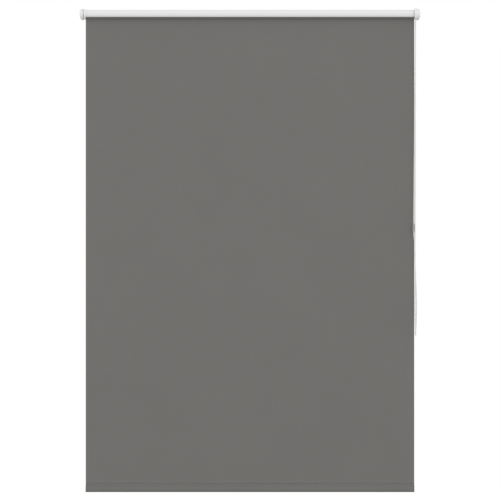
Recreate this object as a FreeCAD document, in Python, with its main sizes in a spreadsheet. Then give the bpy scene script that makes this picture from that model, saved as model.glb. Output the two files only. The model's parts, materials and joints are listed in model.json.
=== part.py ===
"""Roller blind with a bead chain: brackets, covers, slipping clutch, tube, cloth and weighted hem.

Millimetres. +X is to the right of someone facing the window, +Y runs into the wall, +Z is up.
The origin lies on the wall, in the middle of the four screw holes, level with the roller's axis.
"""
import FreeCAD, Part
import math
import os
import re

import Sketcher
from FreeCAD import Placement, Rotation, Vector

SIZES = {
    # the cloth and what holds it
    "cloth_width": 1014,
    "drop_length": 1474.4,  # from the roller's axis to the hem's lower edge
    "cloth_thickness": 0.45,
    "tape_thickness": 0.15,
    "tape_start": 33.5,  # degrees below the front of the tube
    "tape_end": 90,
    "hem_depth": 27,
    "weld_depth": 2.4,
    "lath_width": 20,
    "lath_thickness": 3,
    "lath_clearance": 0.3,
    "cap_grip": 4,
    "cap_overhang": 0.5,
    "spigot_diameter": 1.8,
    "spigot_length": 8,
    # the tube and the wall
    "tube_diameter": 28,
    "tube_wall": 1,
    "axis_from_wall": 27,
    # the metal brackets
    "plate_thickness": 1.5,
    "foot_reach": 13,  # inwards from the cloth's edge
    "foot_height": 26,
    "foot_corner": 3,
    "bend_radius": 1,
    "screw_hole_diameter": 4.5,
    "screw_hole_rise": 8,
    "screw_hole_inset": 4.5,
    # the covers and the chain guard
    "end_depth": 18,  # from the cloth's edge to the outer face of a cover
    "cover_radius": 16.6,
    "cover_wall": 1.6,
    "lip_height": 0.7,
    "lip_thickness": 1.4,
    "upper_rounding": 6.2,
    "lower_rounding": 9.3,
    "cover_gap": 0.4,
    "peg_diameter": 3.4,
    "peg_rise": 9,
    "peg_from_wall": 12,
    "guard_radius": 18.3,
    "guard_wall": 1.6,
    "guard_floor": 1,
    "guard_opening": 23,
    "key_diameter": 3,
    "key_rise": 9.5,
    # the chain and its wheel
    "bead_diameter": 4.5,
    "bead_pitch": 6,
    "pocket_count": 8,
    "pocket_clearance": 0.1,
    "thread_slot": 1.8,
    "wheel_flange": 0.45,
    "wheel_rim": 2.7,  # beyond the pitch circle
    "fork_wall": 1.2,
    # the clutch inside the tube
    "spindle_diameter": 8,
    "clutch_length": 27,
    "drum_flange": 0.85,
    "drum_bore": 14.8,
    "drum_wall": 2,
    "rib_count": 6,
    "rib_thickness": 1.6,
    "spring_wire": 1.2,
    "spring_turns": 6,
    "clip_thickness": 0.8,
    "clip_radius": 6,
    "washer_radius": 6,
    "washer_thickness": 0.8,
    "fixing_screw_diameter": 2.8,
    "fixing_screw_length": 12,
    "fixing_head_radius": 3,
    "fixing_head_height": 1.8,
    # the idle end
    "plug_head_radius": 15.8,
    "plug_head_length": 7,
    "plug_gap": 0.35,  # between the plug's head and the bush's flange
    "plug_length": 30,
    "plug_shoulder": 3,
    "plug_cap_thickness": 2,
    "pin_diameter": 5,
    "pin_press": 6,
    "pin_tail": 9,
    "collar_thickness": 2,
    "collar_radius": 5.2,
    "bush_wall": 1.4,
    "bush_flange": 0.6,
    "coil_radius": 4,
    "coil_wire": 0.8,
    "coil_turns": 8,
    # the chain's connector
    "connector_radius": 3.5,
    "connector_bore": 5.2,
    "connector_length": 24,
    "connector_nose": 3,
    "connector_drop": 659,
    # clearances
    "running_gap": 0.3,  # between faces that turn past each other
    "running_fit": 0.06,  # of a shaft in its bore, on the radius
    "push_fit": 0.05,  # of pieces pushed together, on the radius
}

# Places along an end of the blind, outwards from the cloth's edge.
WHEEL_START = "(drum_flange + running_gap)"
WHEEL_WIDTH = "(bead_diameter + 2 * pocket_clearance / 2 + 2 * wheel_flange)"
CHAIN_PLANE = f"({WHEEL_START} + {WHEEL_WIDTH} / 2)"
GUARD_FLOOR = f"({WHEEL_START} + {WHEEL_WIDTH} + running_gap)"
PLATE_START = f"({GUARD_FLOOR} + guard_floor)"
PLATE_END = f"({PLATE_START} + plate_thickness)"
COVER_DEPTH = f"(end_depth - {PLATE_START})"
IDLE_PLATE_START = "(plug_head_length + plug_gap + bush_flange)"
IDLE_PLATE_END = f"({IDLE_PLATE_START} + plate_thickness)"
IDLE_MIRROR = f"({PLATE_START} - {IDLE_PLATE_START}) / 2"
PITCH_RADIUS = "(bead_pitch / 2 / sin(180 deg / pocket_count))"
TUBE_BORE = "(tube_diameter / 2 - tube_wall)"
DRUM_TIP = f"({TUBE_BORE} - push_fit)"
PLATE_RADIUS = "(cover_radius - cover_wall - cover_gap)"
SHAFT_BORE = "(spindle_diameter / 2 + running_fit)"
PIN_BORE = "(pin_diameter / 2 + running_fit)"
WRAP_RADIUS = "(tube_diameter / 2 + tape_thickness + cloth_thickness)"
HEM_HALF = "(lath_thickness / 2 + lath_clearance + cloth_thickness)"
LATH_BOTTOM = "(cloth_thickness + lath_clearance - drop_length)"

# The chain's route from the wheel's front, round the loop at the bottom, to the wheel's back:
# offsets from the wheel's centre.
CHAIN_ROUTE = [
    (0.0, -7.84, -12.5),
    (-0.2, -8.0, -39.0),
    (-6.1, -8.9, -680.0),
    (-2.0, -9.2, -704.0),
    (-1.3, -9.1, -746.0),
    (-1.3, -8.7, -799.0),
    (-1.6, -8.9, -852.0),
    (-2.4, -10.6, -903.0),
    (-1.9, -14.0, -940.0),
    (-1.0, -15.6, -962.0),
    (-0.3, -15.0, -979.8),
    (0.1, -6.3, -989.2),
    (0.5, 6.2, -989.0),
    (1.0, 15.0, -980.0),
    (1.8, 15.5, -962.5),
    (2.7, 13.9, -940.0),
    (3.0, 10.6, -900.0),
    (1.7, 8.6, -846.0),
    (-0.5, 8.1, -784.0),
    (-1.7, 8.4, -722.0),
    (0.1, 7.95, -39.0),
    (0.0, 7.84, -12.5),
]

doc = FreeCAD.newDocument("roller_blind")
sheet = doc.addObject("Spreadsheet::Sheet", "sizes")
for row, (alias, value) in enumerate(SIZES.items(), start=1):
    sheet.set(f"A{row}", alias)
    sheet.set(f"B{row}", str(value))
    sheet.setAlias(f"B{row}", alias)
doc.recompute()

nodes = []


def bound(formula):
    """The formula with every size's name pointing at its cell."""
    return re.sub(r"[a-z_]+", lambda m: f"sizes.{m[0]}" if m[0] in SIZES else m[0], str(formula))


def size(formula):
    """The formula's value now."""
    holder = doc.addObject("App::FeaturePython", "value")
    holder.addProperty("App::PropertyFloat", "Number")
    holder.setExpression("Number", bound(formula))
    doc.recompute([holder])
    number = holder.Number
    doc.removeObject(holder.Name)
    return number


def bind(thing, **formulas):
    for name, formula in formulas.items():
        thing.setExpression(name.replace("__", "."), bound(formula))


def place(thing, x="0", y="0", z="0"):
    bind(thing, Placement__Base__x=x, Placement__Base__y=y, Placement__Base__z=z)


def keep(thing, label):
    """Name a finished sub-part."""
    thing.Label = label
    nodes.append(thing)
    return thing


# ---- sketches ----

def new_body(name):
    return doc.addObject("PartDesign::Body", name)


def new_sketch(body, plane, offset="0"):
    sketch = body.newObject("Sketcher::SketchObject", body.Name + "_sketch")
    role = plane + "_Plane"
    sketch.AttachmentSupport = [(next(o for o in body.Origin.OriginFeatures if o.Role == role), "")]
    sketch.MapMode = "FlatFace"
    bind(sketch, AttachmentOffset__Base__z=offset)
    return sketch


def fix_point(sketch, geometry, corner, x, y):
    """Hold one point of a sketch at a place that formulas give."""
    for kind, formula in (("DistanceX", x), ("DistanceY", y)):
        number = sketch.addConstraint(
            Sketcher.Constraint(kind, -1, 1, geometry, corner, size(formula)))
        sketch.setExpression(f"Constraints[{number}]", bound(formula))


def polygon(sketch, points):
    """A closed outline of straight lines through points given as formulas."""
    corners = [Vector(size(x), size(y), 0) for x, y in points]
    first = sketch.GeometryCount
    count = len(corners)
    for i, corner in enumerate(corners):
        sketch.addGeometry(Part.LineSegment(corner, corners[(i + 1) % count]))
    for i, (x, y) in enumerate(points):
        sketch.addConstraint(
            Sketcher.Constraint("Coincident", first + (i - 1) % count, 2, first + i, 1))
        fix_point(sketch, first + i, 1, x, y)


def rectangle(sketch, x0, y0, x1, y1):
    polygon(sketch, [(x0, y0), (x1, y0), (x1, y1), (x0, y1)])


def circle(sketch, x, y, radius):
    middle = Vector(size(x), size(y), 0)
    number = sketch.addGeometry(Part.Circle(middle, Vector(0, 0, 1), size(radius)))
    fix_point(sketch, number, 3, x, y)
    fixed = sketch.addConstraint(Sketcher.Constraint("Radius", number, size(radius)))
    sketch.setExpression(f"Constraints[{fixed}]", bound(radius))


def half_round(sketch, radius, back):
    """An outline round at the front, about the roller's axis, and square at the back."""
    axis = "-axis_from_wall"
    points = [(axis, f"-{radius}"), (back, f"-{radius}"), (back, radius), (axis, radius)]
    corners = [Vector(size(x), size(y), 0) for x, y in points]
    for start, end in zip(corners, corners[1:]):
        sketch.addGeometry(Part.LineSegment(start, end))
    front = Part.Arc(corners[3], Vector(size(f"{axis} - {radius}"), 0, 0), corners[0])
    sketch.addGeometry(front)
    for i, (x, y) in enumerate(points):
        sketch.addConstraint(Sketcher.Constraint("Coincident", i, 2, (i + 1) % 4, 1))
        fix_point(sketch, i, 1, x, y)
    number = sketch.addConstraint(Sketcher.Constraint("DistanceX", -1, 1, 3, 3, size(axis)))
    sketch.setExpression(f"Constraints[{number}]", bound(axis))


# ---- features ----

def pad(body, sketch, length):
    feature = body.newObject("PartDesign::Pad", body.Name + "_pad")
    feature.Profile = sketch
    bind(feature, Length=length)
    doc.recompute()
    if feature.Shape.isNull():
        raise ValueError(f"{body.Name}: a pad is empty, {sketch.getStatusString()}")
    return feature


def pocket_through(body, sketch):
    """Cut the sketch right through the body, both ways from its plane."""
    before = body.Shape.Volume
    feature = body.newObject("PartDesign::Pocket", body.Name + "_pocket")
    feature.Profile = sketch
    feature.Type = "ThroughAll"
    feature.Midplane = True
    doc.recompute()
    if not body.Shape.Volume < before:
        raise ValueError(body.Name + ": a pocket cut nothing")
    return feature


def turned(name, points, x, flip=False):
    """A body turned about the roller's axis from an outline of (outwards, radius) formulas."""
    body = new_body(name)
    sketch = new_sketch(body, "XZ")
    polygon(sketch, points)
    feature = body.newObject("PartDesign::Revolution", name + "_turned")
    feature.Profile = sketch
    feature.ReferenceAxis = (sketch, ["H_Axis"])
    feature.Angle = 360
    if flip:
        body.Placement.Rotation = Rotation(Vector(0, 0, 1), 180)
    place(body, x, "-axis_from_wall")
    doc.recompute()
    return body


def round_edges(body, base, chosen, radius):
    feature = body.newObject("PartDesign::Fillet", body.Name + "_rounding")
    names = [f"Edge{i}" for i, edge in enumerate(base.Shape.Edges, start=1) if chosen(edge)]
    feature.Base = (base, names)
    bind(feature, Radius=radius)
    doc.recompute()
    return feature


def joined(kind, name, pieces):
    """A Part boolean over the pieces: a cut takes two, base and tool."""
    feature = doc.addObject(f"Part::{kind}", name)
    if kind == "Cut":
        feature.Base, feature.Tool = pieces
    elif kind == "Compound":
        feature.Links = pieces
    else:
        feature.Shapes = pieces
    doc.recompute()
    return feature


def rod_along_x(name, radius, length, x, y, z):
    rod = doc.addObject("Part::Cylinder", name)
    rod.Placement.Rotation = Rotation(Vector(0, 1, 0), 90)
    bind(rod, Radius=radius, Height=length)
    place(rod, x, y, z)
    return rod


def block(name, length, width, height, x, y, z):
    box = doc.addObject("Part::Box", name)
    bind(box, Length=length, Width=width, Height=height)
    place(box, x, y, z)
    return box


def mirrored(source, label, middle="0"):
    """The same piece at the other end of the blind, mirrored about x = middle."""
    feature = doc.addObject("Part::Mirroring", label)
    feature.Source = source
    feature.Normal = Vector(1, 0, 0)
    bind(feature, Base__x=middle)
    doc.recompute()
    return keep(feature, label)


RIGHT = "cloth_width / 2"
LEFT = "-cloth_width / 2"


# ---- brackets ----

def make_bracket():
    body = new_body("bracket")
    plate = new_sketch(body, "YZ", PLATE_START)
    half_round(plate, PLATE_RADIUS, "0")
    pad(body, plate, "plate_thickness")
    foot = new_sketch(body, "XZ")
    rectangle(foot, "-foot_reach", "-foot_height / 2", PLATE_END, "foot_height / 2")
    footing = pad(body, foot, "plate_thickness")

    def foot_corner(edge):
        box = edge.BoundBox
        return box.YLength > 1 and box.XLength < 0.01 and box.XMax < 0

    def inner_bend(edge):
        box = edge.BoundBox
        at_plate = abs(box.XMin - size(PLATE_START)) < 0.01 and box.XLength < 0.01
        return at_plate and abs(box.YMin + size("plate_thickness")) < 0.01 and box.YLength < 0.01
    rounded = round_edges(body, footing, foot_corner, "foot_corner")
    round_edges(body, rounded, inner_bend, "bend_radius")

    screws = new_sketch(body, "XZ")
    for rise in ("screw_hole_rise", "-screw_hole_rise"):
        circle(screws, "-screw_hole_inset", rise, "screw_hole_diameter / 2")
    pocket_through(body, screws)
    holes = new_sketch(body, "YZ")
    circle(holes, "-axis_from_wall", "0", "spindle_diameter / 2 + push_fit")
    for sign in ("", "-"):
        circle(holes, "-axis_from_wall", f"{sign}key_rise", "key_diameter / 2 + push_fit")
        circle(holes, "-peg_from_wall", f"{sign}peg_rise", "peg_diameter / 2 + push_fit")
    pocket_through(body, holes)
    place(body, RIGHT)
    doc.recompute()
    return keep(body, "control_bracket")


# ---- covers ----

def dome(name, radius, start, end, back, upper, lower):
    """A half-round block whose outer edge is rounded, more at the bottom than at the top."""
    body = new_body(name)
    outline = new_sketch(body, "YZ", start)
    half_round(outline, radius, back)
    pad(body, outline, f"{end} - {start}")
    place(body, RIGHT)
    doc.recompute()
    outer_x = body.Shape.BoundBox.XMax
    edges = []
    for i, edge in enumerate(body.Shape.Edges, start=1):
        box = edge.BoundBox
        if box.XMin < outer_x - 0.01 or (box.YLength < 0.01 and box.YMin > -1):
            continue
        ends = [edge.valueAt(edge.FirstParameter).z, edge.valueAt(edge.LastParameter).z]
        edges.append((i, *(upper if z > 0 else lower for z in ends)))
    feature = doc.addObject("Part::Fillet", name + "_rounded")
    feature.Base = body
    feature.Edges = edges
    doc.recompute()
    return feature


def make_cover():
    upper = size("upper_rounding")
    lower = min(size("lower_rounding"), size(COVER_DEPTH) - size("lip_thickness") / 4)
    wall = size("cover_wall")
    outer = dome("cover_outer", "cover_radius", PLATE_START, "end_depth", "0", upper, lower)
    inner = dome("cover_inner", "(cover_radius - cover_wall)", f"({PLATE_START} - 1)",
                 "(end_depth - cover_wall)", "cover_radius", upper - wall, lower - wall)
    lip = new_body("cover_lip")
    outline = new_sketch(lip, "YZ", PLATE_START)
    half_round(outline, "(cover_radius + lip_height)", "0")
    pad(lip, outline, "lip_thickness")
    place(lip, RIGHT)
    shell = joined("Cut", "cover_shell", [joined("MultiFuse", "cover_solid", [outer, lip]), inner])
    pegs = [rod_along_x("cover_peg", "peg_diameter / 2",
                        f"end_depth - cover_wall / 2 - ({PLATE_START} + running_gap)",
                        f"{RIGHT} + {PLATE_START} + running_gap", "-peg_from_wall", sign + "peg_rise")
            for sign in ("", "-")]
    cover = joined("MultiFuse", "cover_with_pegs", [shell, *pegs])
    return keep(cover, "control_cover")


def make_chain_guard():
    """The ring round the chain wheel, closed on the bracket's side and open at the bottom."""
    rim = f"({PITCH_RADIUS} + wheel_rim + running_gap)"
    start = "(drum_flange + running_gap / 2)"
    guard = turned("guard", [
        (start, "guard_radius"),
        (PLATE_START, "guard_radius"),
        (PLATE_START, "spindle_diameter / 2 + push_fit"),
        (GUARD_FLOOR, "spindle_diameter / 2 + push_fit"),
        (GUARD_FLOOR, rim),
        (start, rim),
        (start, f"{rim} + guard_wall"),
        (GUARD_FLOOR, f"{rim} + guard_wall"),
        (GUARD_FLOOR, "guard_radius - guard_wall"),
        (start, "guard_radius - guard_wall"),
    ], RIGHT)
    opening = new_sketch(guard, "XY")
    rectangle(opening, "0", "-guard_opening / 2", GUARD_FLOOR, "guard_opening / 2")
    cut = guard.newObject("PartDesign::Pocket", "guard_opening_cut")
    cut.Profile = opening
    bind(cut, Length="guard_radius + running_gap")
    doc.recompute()
    keys = [rod_along_x("guard_key", "key_diameter / 2", "plate_thickness",
                        f"{RIGHT} + {PLATE_START}", "-axis_from_wall", sign + "key_rise")
            for sign in ("", "-")]
    return keep(joined("MultiFuse", "guard_with_keys", [guard, *keys]), "chain_guard")


# ---- clutch ----

def make_spindle():
    radius = "spindle_diameter / 2"
    groove = "(-clutch_length - running_gap)"
    groove_end = f"({groove} - clip_thickness - running_gap)"
    screw_bore = "(fixing_screw_diameter / 2 + push_fit)"
    depth = f"({PLATE_END} - fixing_screw_length)"
    return keep(turned("spindle", [
        (PLATE_END, radius),
        (groove, radius),
        (groove, f"{radius} - clip_thickness"),
        (groove_end, f"{radius} - clip_thickness"),
        (groove_end, radius),
        (f"{groove_end} - clip_thickness", radius),
        (f"{groove_end} - clip_thickness", "0"),
        (depth, "0"),
        (depth, screw_bore),
        (PLATE_END, screw_bore),
    ], RIGHT), "clutch_spindle")


def make_spindle_clip():
    """An open ring snapped into the spindle's groove."""
    inner = "(spindle_diameter / 2 - clip_thickness + push_fit)"
    near = "(-clutch_length - 3 / 2 * running_gap)"
    far = f"({near} - clip_thickness)"
    ring = turned("clip_ring", [(near, inner), (near, "clip_radius"), (far, "clip_radius"),
                                (far, inner)], RIGHT)
    mouth = block("clip_mouth", "2 * clip_thickness", f"2 * {inner}", "2 * clip_radius",
                  f"{RIGHT} + {far} - clip_thickness / 2", f"-axis_from_wall - {inner}", "0")
    return keep(joined("Cut", "clip_open", [ring, mouth]), "spindle_clip")


def make_fixing_screw():
    end = f"({PLATE_END} + washer_thickness)"
    washer = turned("washer", [
        (PLATE_END, "fixing_screw_diameter / 2 + push_fit"),
        (PLATE_END, "washer_radius"),
        (end, "washer_radius"),
        (end, "fixing_screw_diameter / 2 + push_fit"),
    ], RIGHT)
    keep(washer, "spindle_washer")
    head = f"({end} + fixing_head_height)"
    tip = f"({PLATE_END} - fixing_screw_length + running_gap)"
    screw = turned("screw", [
        (tip, "0"),
        (tip, "fixing_screw_diameter / 2"),
        (end, "fixing_screw_diameter / 2"),
        (end, "fixing_head_radius"),
        (f"{head} - fixing_head_height / 3", "fixing_head_radius"),
        (head, "fixing_head_radius * 2 / 3"),
        (head, "0"),
    ], RIGHT)
    slot = new_sketch(screw, "XY")
    half = "fixing_head_height / 4"
    rectangle(slot, f"{head} - fixing_head_height / 2", f"-{half}", f"{head} + 1", half)
    pocket_through(screw, slot)
    return keep(screw, "spindle_screw")


def make_chain_wheel():
    """A pocketed wheel on the spindle with the half sleeve that works the wrap springs."""
    core = f"({PITCH_RADIUS} + pocket_clearance * 4)"
    rim = f"({PITCH_RADIUS} + wheel_rim)"
    slot = "(thread_slot / 2)"
    slot_floor = f"({PITCH_RADIUS} - thread_slot / 2)"
    half = f"({WHEEL_WIDTH} / 2)"
    inner = f"({half} - wheel_flange)"
    wheel = turned("wheel", [
        (f"-{half}", SHAFT_BORE),
        (f"-{half}", rim),
        (f"-{inner}", rim),
        (f"-{inner}", core),
        (f"-{slot}", core),
        (f"-{slot}", slot_floor),
        (slot, slot_floor),
        (slot, core),
        (inner, core),
        (inner, rim),
        (half, rim),
        (half, SHAFT_BORE),
    ], f"{RIGHT} + {CHAIN_PLANE}")
    ball = new_sketch(wheel, "XZ")
    radius = size("bead_diameter / 2 + pocket_clearance")
    middle = size(PITCH_RADIUS)
    top = Vector(0, middle + radius, 0)
    bottom = Vector(0, middle - radius, 0)
    ball.addGeometry(Part.Arc(bottom, Vector(radius, middle, 0), top))
    ball.addGeometry(Part.LineSegment(top, bottom))
    ball.addConstraint(Sketcher.Constraint("Coincident", 0, 2, 1, 1))
    ball.addConstraint(Sketcher.Constraint("Coincident", 0, 1, 1, 2))
    ball.addConstraint(Sketcher.Constraint("Vertical", 1))
    fix_point(ball, 0, 3, "0", PITCH_RADIUS)
    number = ball.addConstraint(Sketcher.Constraint("Radius", 0, radius))
    ball.setExpression(f"Constraints[{number}]", bound("bead_diameter / 2 + pocket_clearance"))
    ball.addConstraint(Sketcher.Constraint("PointOnObject", 0, 2, -2))
    socket = wheel.newObject("PartDesign::Groove", "wheel_pocket")
    socket.Profile = ball
    socket.ReferenceAxis = (ball, ["V_Axis"])
    socket.Angle = 360
    doc.recompute()
    ring = wheel.newObject("PartDesign::PolarPattern", "wheel_pockets")
    ring.Originals = [socket]
    ring.Axis = (next(o for o in wheel.Origin.OriginFeatures if o.Role == "X_Axis"), [""])
    ring.Angle = 360
    bind(ring, Occurrences="pocket_count")
    wheel.Tip = ring
    doc.recompute()

    fork_inner = "(spindle_diameter / 2 + spring_wire + running_gap)"
    reach = f"(clutch_length - drum_wall - running_gap + {WHEEL_START})"
    sleeve = turned("fork_sleeve", [
        (f"-{reach}", fork_inner),
        (f"-{reach}", f"{fork_inner} + fork_wall"),
        ("wheel_flange / 2", f"{fork_inner} + fork_wall"),
        ("wheel_flange / 2", fork_inner),
    ], f"{RIGHT} + {WHEEL_START}")
    open_half = block("fork_gap", reach, f"2 * ({fork_inner} + 2 * fork_wall)",
                      f"{fork_inner} + 2 * fork_wall", f"{RIGHT} + {WHEEL_START} - {reach}",
                      f"-axis_from_wall - {fork_inner} - 2 * fork_wall",
                      f"-{fork_inner} - 2 * fork_wall")
    fork = joined("Cut", "drive_fork", [sleeve, open_half])
    return keep(joined("MultiFuse", "wheel_with_fork", [wheel, fork]), "chain_wheel")


def make_wheel_beads():
    """The chain's beads over the top half of the wheel."""
    balls = []
    for i in range(int(SIZES["pocket_count"]) // 2 + 1):
        ball = doc.addObject("Part::Sphere", "wheel_bead")
        bind(ball, Radius="bead_diameter / 2")
        turn = f"({i} * 360 deg / pocket_count)"
        place(ball, f"{RIGHT} + {CHAIN_PLANE}",
              f"-axis_from_wall - {PITCH_RADIUS} * cos({turn})", f"{PITCH_RADIUS} * sin({turn})")
        balls.append(ball)
    return keep(joined("Compound", "beads_on_wheel", balls), "wheel_beads")


def make_wrap_springs():
    """Two close-wound springs that grip the spindle, each with one bent end."""
    springs = []
    inner = "(spindle_diameter / 2 + running_fit / 2)"
    outer = f"({inner} + spring_wire)"
    for number in range(2):
        start = f"(-drum_wall - {number} * (spring_turns + 2) * spring_wire)"
        points = [(start, inner)]
        for turn in range(SIZES["spring_turns"]):
            crest = f"({start} - ({turn} + 1 / 2) * spring_wire)"
            points.append((f"{start} - {turn} * spring_wire", f"{outer} - spring_wire / 3"))
            points.append((f"{crest} + spring_wire / 4", outer))
            points.append((f"{crest} - spring_wire / 4", outer))
        end = f"({start} - {SIZES['spring_turns']} * spring_wire)"
        points.append((end, f"{outer} - spring_wire / 3"))
        points.append((end, inner))
        coil = turned(f"wrap_coil_{number}", points, RIGHT)
        tang = block("wrap_tang", "spring_wire", "spring_wire", f"spring_wire + running_gap * 3",
                     f"{RIGHT} + {start} - spring_wire", "-axis_from_wall - spring_wire / 2",
                     f"-{outer} - running_gap * 3")
        springs.append(joined("MultiFuse", f"wrap_spring_{number}", [coil, tang]))
    return keep(joined("Compound", "both_wrap_springs", springs), "wrap_springs")


def ribs(name, core, length, start):
    """Fins round a plug that fill the tube's bore, inwards from start."""
    fins = []
    for i in range(int(SIZES["rib_count"])):
        fin = block(f"{name}_rib", length, "rib_thickness", f"{DRUM_TIP} - {core} + rib_thickness / 2",
                    "0", "0", "0")
        turn = math.radians(360 / SIZES["rib_count"] * i)
        fin.Placement.Rotation = Rotation(Vector(1, 0, 0), math.degrees(turn))
        reach = f"({core} - rib_thickness / 2)"
        side_y, side_z = round(math.sin(turn), 9), round(math.cos(turn), 9)
        place(fin, start,
              f"-axis_from_wall - {side_y} * {reach} - {side_z} * rib_thickness / 2",
              f"{side_z} * {reach} - {side_y} * rib_thickness / 2")
        fins.append(fin)
    return fins


def make_clutch_drum():
    """The ribbed drum pushed into the tube, which the springs drive."""
    outer = "(drum_bore / 2 + drum_wall)"
    drum = turned("drum", [
        ("drum_flange", "drum_bore / 2"),
        ("drum_flange", "tube_diameter / 2 + tape_thickness"),
        ("0", "tube_diameter / 2 + tape_thickness"),
        ("0", outer),
        ("-clutch_length", outer),
        ("-clutch_length", SHAFT_BORE),
        ("drum_wall - clutch_length", SHAFT_BORE),
        ("drum_wall - clutch_length", "drum_bore / 2"),
    ], RIGHT)
    fins = ribs("drum", outer, "clutch_length", f"{RIGHT} - clutch_length")
    return keep(joined("MultiFuse", "ribbed_drum", [drum, *fins]), "clutch_drum")


# ---- idle end ----

def make_idle_plug():
    core = "(collar_radius + running_gap + drum_wall)"
    bore = "(collar_radius + running_gap)"
    head = "plug_head_length"
    plug = turned("plug", [
        (head, PIN_BORE),
        (head, "plug_head_radius - drum_wall / 2"),
        (f"{head} - drum_wall / 2", "plug_head_radius"),
        ("0", "plug_head_radius"),
        ("0", core),
        ("-plug_length", core),
        ("-plug_length", bore),
        ("-plug_shoulder", bore),
        ("-plug_shoulder", PIN_BORE),
    ], LEFT, flip=True)
    fins = ribs("plug", core, "plug_length", LEFT)
    keep(joined("MultiFuse", "ribbed_plug", [plug, *fins]), "idle_plug")
    near = "(plug_cap_thickness - plug_length)"
    cap = turned("cap", [
        (near, PIN_BORE),
        (near, f"{bore} - push_fit"),
        ("-plug_length", f"{bore} - push_fit"),
        ("-plug_length", PIN_BORE),
    ], LEFT, flip=True)
    return keep(cap, "plug_cap")


def make_idle_pin():
    radius = "(pin_diameter / 2)"
    tip = f"({IDLE_PLATE_END} + washer_thickness + pin_press / 2)"
    chamfer = f"({radius} / 4)"
    collar = "(-plug_shoulder - running_gap)"
    collar_end = f"({collar} - collar_thickness)"
    tail = f"({collar_end} - pin_tail)"
    keep(turned("pin", [
        (tip, "0"),
        (tip, f"{radius} - {chamfer}"),
        (f"{tip} - {chamfer}", radius),
        (tail, radius),
        (tail, "0"),
    ], LEFT, flip=True), "idle_pin")
    keep(turned("collar", [
        (collar, f"{radius} + push_fit / 2"),
        (collar, "collar_radius"),
        (collar_end, "collar_radius"),
        (collar_end, f"{radius} + push_fit / 2"),
    ], LEFT, flip=True), "pin_collar")

    bush_outer = "(spindle_diameter / 2)"
    keep(turned("bush", [
        (f"{IDLE_PLATE_START} - bush_flange", PIN_BORE),
        (f"{IDLE_PLATE_START} - bush_flange", f"{bush_outer} + bush_wall"),
        (IDLE_PLATE_START, f"{bush_outer} + bush_wall"),
        (IDLE_PLATE_START, bush_outer),
        (f"{IDLE_PLATE_END} + bush_flange", bush_outer),
        (f"{IDLE_PLATE_END} + bush_flange", PIN_BORE),
    ], LEFT, flip=True), "idle_bush")
    return collar_end


def make_pin_spring(collar_end):
    """The coil between the pin's collar and the plug's cap."""
    wire = size("coil_wire")
    radius = size("coil_radius")
    start = size(f"{collar_end} - coil_wire / 2 - push_fit")
    end = size("plug_cap_thickness - plug_length + coil_wire / 2 + push_fit")
    length = start - end
    helix = Part.makeHelix(length / SIZES["coil_turns"], length, radius)
    section = Part.Wire(Part.makeCircle(wire / 2, Vector(radius, 0, 0), Vector(0, 1, 0)))
    coil = Part.Wire(helix).makePipeShell([section], True, True)
    spring = doc.addObject("Part::Feature", "pin_coil")
    spring.Shape = coil
    spring.Placement = Placement(
        Vector(size(LEFT) - start, -size("axis_from_wall"), 0), Rotation(Vector(0, 1, 0), 90))
    return keep(spring, "idle_pin_spring")


# ---- roller ----

def arc_sheet(name, inner, thickness):
    """A strip of the cloth's width lying on the tube from tape_start to tape_end."""
    ring = turned(name + "_ring", [
        ("0", inner),
        ("0", f"{inner} + {thickness}"),
        ("cloth_width", f"{inner} + {thickness}"),
        ("cloth_width", inner),
    ], LEFT)
    ring.Tip.Angle = size("tape_end - tape_start")
    ring.Placement.Rotation = Rotation(Vector(1, 0, 0), 90 + size("tape_start"))
    doc.recompute()
    return ring


def make_roller():
    tube = turned("tube", [
        ("0", TUBE_BORE),
        ("0", "tube_diameter / 2"),
        ("cloth_width", "tube_diameter / 2"),
        ("cloth_width", TUBE_BORE),
    ], LEFT)
    keep(tube, "roller_tube")
    keep(arc_sheet("tape", "tube_diameter / 2", "tape_thickness"), "adhesive_tape")
    keep(arc_sheet("wrap", "tube_diameter / 2 + tape_thickness", "cloth_thickness"), "fabric_wrap")


# ---- cloth and hem ----

def make_cloth():
    top = f"(-{WRAP_RADIUS} - running_gap)"
    panel = block("panel", "cloth_width", "cloth_thickness",
                  f"drop_length - hem_depth + {top}", LEFT,
                  "-axis_from_wall - cloth_thickness / 2", "hem_depth - drop_length")
    keep(panel, "fabric_panel")

    hem = new_body("hem_pocket")
    outline = new_sketch(hem, "YZ")
    low = "(-drop_length)"
    high = "(hem_depth - drop_length)"
    polygon(outline, hem_section(HEM_HALF, "cloth_thickness", low, high))
    outer = pad(hem, outline, "cloth_width")
    round_edges(hem, outer, lambda edge: long_edge_below(edge, f"{low} + 1"),
                f"{HEM_HALF} - cloth_thickness / 4")
    pocket = new_sketch(hem, "YZ")
    inner_low = "(cloth_thickness - drop_length)"
    inner_half = f"({HEM_HALF} - cloth_thickness)"
    side = f"({high} - weld_depth - {HEM_HALF} * 3 / 2)"
    polygon(pocket, [
        (f"-{inner_half}", f"{inner_low} + {inner_half}"),
        (f"-{inner_half} / 2", inner_low),
        (f"{inner_half} / 2", inner_low),
        (inner_half, f"{inner_low} + {inner_half}"),
        (inner_half, side),
        ("0", f"{high} - weld_depth"),
        (f"-{inner_half}", side),
    ])
    pocket_through(hem, pocket)
    place(hem, LEFT, "-axis_from_wall")
    doc.recompute()
    keep(hem, "hem")


def hem_section(half, weld_half, low, high):
    """The folded hem in section: two layers welded at the top round the lath's pocket."""
    weld = f"({high} - weld_depth)"
    side = f"({weld} - {half} * 3 / 2)"
    return [
        (f"-{half}", low), (half, low), (half, side), (weld_half, weld), (weld_half, high),
        (f"-{weld_half}", high), (f"-{weld_half}", weld), (f"-{half}", side),
    ]


def long_edge_below(edge, height):
    box = edge.BoundBox
    return box.XLength > 1 and box.YLength < 0.01 and box.ZMax < size(height)


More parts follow.
